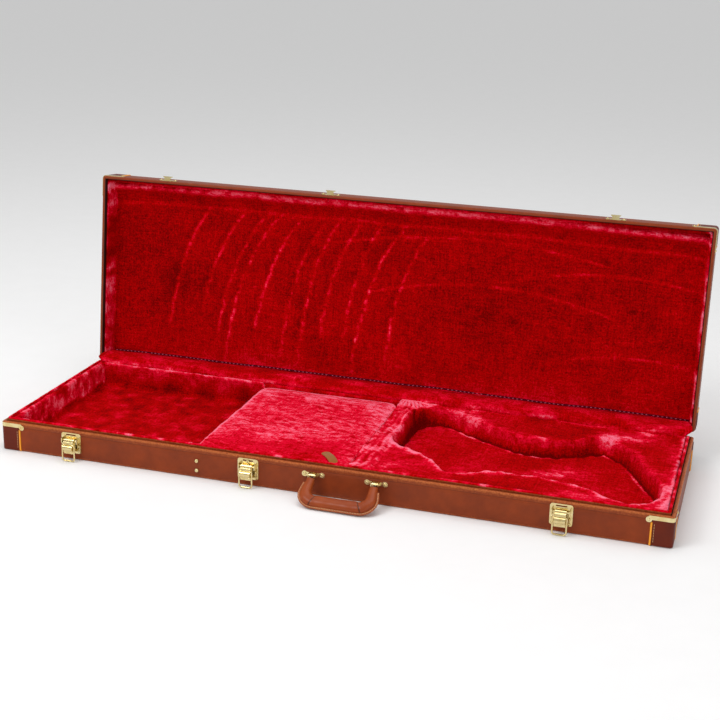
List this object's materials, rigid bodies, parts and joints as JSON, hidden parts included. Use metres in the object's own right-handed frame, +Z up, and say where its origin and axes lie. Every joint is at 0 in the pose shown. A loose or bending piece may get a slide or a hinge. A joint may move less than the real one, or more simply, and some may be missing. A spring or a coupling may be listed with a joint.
{
  "type": "guitar case",
  "caption": "Rectangular hardshell electric guitar case with a hinged lid, draw latches, swinging handle, moulded plush lining and a lidded accessory box.",
  "frame": {"origin": "centre of the flat underside, on the surface the case lies on", "axes": "+X along the case's length, with the body end at +X; +Y towards the hinges; +Z up"},
  "size_m": [1.0844, 0.4772, 0.3948],
  "materials": {
    "covered_plywood": "plywood covered in smooth brown vinyl cloth",
    "bare_wood": "stained wood and board",
    "plush": "red pile fabric over foam",
    "tan_leather": "tan suede leather",
    "handle_leather": "smooth brown leather",
    "steel": "plain steel",
    "patch_vinyl": "dark brown vinyl",
    "piping_vinyl": "amber vinyl welt",
    "brass": "bright plated brass"
  },
  "bodies": {
    "base": {"base_bottom_panel": "covered_plywood", "base_front_wall": "covered_plywood", "base_back_wall": "covered_plywood", "base_left_wall": "covered_plywood", "base_right_wall": "covered_plywood", "base_tongue": "bare_wood", "headstock_floor_pad": "plush", "left_end_pad": "plush", "headstock_wall_linings": "plush", "body_floor_pad": "plush", "body_foam": "plush", "neck_cradle": "plush", "accessory_left_divider": "bare_wood", "accessory_right_divider": "bare_wood", "accessory_floor_pad": "plush", "accessory_lid_ledge": "bare_wood", "divider_studs": "brass", "latch_plate_left": "brass", "latch_plate_middle": "brass", "latch_plate_right": "brass", "latch_pins": "brass", "base_rivets": "brass", "handle_brackets": "brass", "handle_pins": "brass", "handle_screws": "brass", "hinge_base_leaves": "brass", "hinge_pins": "brass", "base_corner_patches": "patch_vinyl", "base_corner_piping": "piping_vinyl", "base_corner_plates": "brass", "base_feet": "brass"},
    "lid": {"lid_top_panel": "covered_plywood", "lid_front_wall": "covered_plywood", "lid_back_wall": "covered_plywood", "lid_left_wall": "covered_plywood", "lid_right_wall": "covered_plywood", "lid_panel_pad": "plush", "lid_wall_linings": "plush", "lid_hinge_flap": "plush", "lid_catches": "brass", "lid_rivets": "brass", "hinge_lid_leaves": "brass", "lid_corner_patches": "patch_vinyl", "lid_corner_piping": "piping_vinyl", "lid_corner_plates": "brass", "lid_feet": "brass"},
    "accessory_lid": {"accessory_lid_board": "bare_wood", "accessory_lid_pad": "plush", "accessory_pull_tab": "tan_leather"},
    "handle": {"handle_cover": "handle_leather", "handle_core": "steel", "handle_eyes": "brass"},
    "lock_plug": {"lock_plug": "brass"},
    "lever_left": {"latch_lever_left": "brass"},
    "bail_left": {"latch_bail_left": "brass"},
    "lever_middle": {"latch_lever_middle": "brass"},
    "bail_middle": {"latch_bail_middle": "brass"},
    "lever_right": {"latch_lever_right": "brass"},
    "bail_right": {"latch_bail_right": "brass"}
  },
  "joints": [
    {"name": "lid_hinge", "type": "hinge", "parent": "base", "child": "lid", "pos_m": [0, 0.1725, 0.0492], "axis": [-1, 0, 0], "range_deg": [-96.5, 0]},
    {"name": "accessory_lid_hinge", "type": "hinge", "parent": "base", "child": "accessory_lid", "pos_m": [-0.0795, 0.15, 0.042], "axis": [-1, 0, 0], "range_deg": [0, 85]},
    {"name": "handle_swing", "type": "hinge", "parent": "base", "child": "handle", "pos_m": [0.048, -0.173, 0.035], "axis": [-1, 0, 0], "range_deg": [-41.5, 108.5]},
    {"name": "lock_plug_turn", "type": "hinge", "parent": "base", "child": "lock_plug", "pos_m": [-0.109, -0.169, 0.041], "axis": [0, -1, 0], "range_deg": [0, 90]},
    {"name": "lever_left_flip", "type": "hinge", "parent": "base", "child": "lever_left", "pos_m": [-0.414, -0.173, 0.034], "axis": [-1, 0, 0], "range_deg": [0, 105]},
    {"name": "bail_left_swing", "type": "hinge", "parent": "lever_left", "child": "bail_left", "pos_m": [-0.414, -0.1795, 0.0283], "axis": [1, 0, 0], "range_deg": [-198, 0]},
    {"name": "lever_middle_flip", "type": "hinge", "parent": "base", "child": "lever_middle", "pos_m": [-0.109, -0.173, 0.034], "axis": [-1, 0, 0], "range_deg": [0, 105]},
    {"name": "bail_middle_swing", "type": "hinge", "parent": "lever_middle", "child": "bail_middle", "pos_m": [-0.109, -0.1795, 0.0283], "axis": [1, 0, 0], "range_deg": [-198, 0]},
    {"name": "lever_right_flip", "type": "hinge", "parent": "base", "child": "lever_right", "pos_m": [0.379, -0.173, 0.034], "axis": [-1, 0, 0], "range_deg": [0, 105]},
    {"name": "bail_right_swing", "type": "hinge", "parent": "lever_right", "child": "bail_right", "pos_m": [0.379, -0.1795, 0.0283], "axis": [1, 0, 0], "range_deg": [-198, 0]}
  ]
}
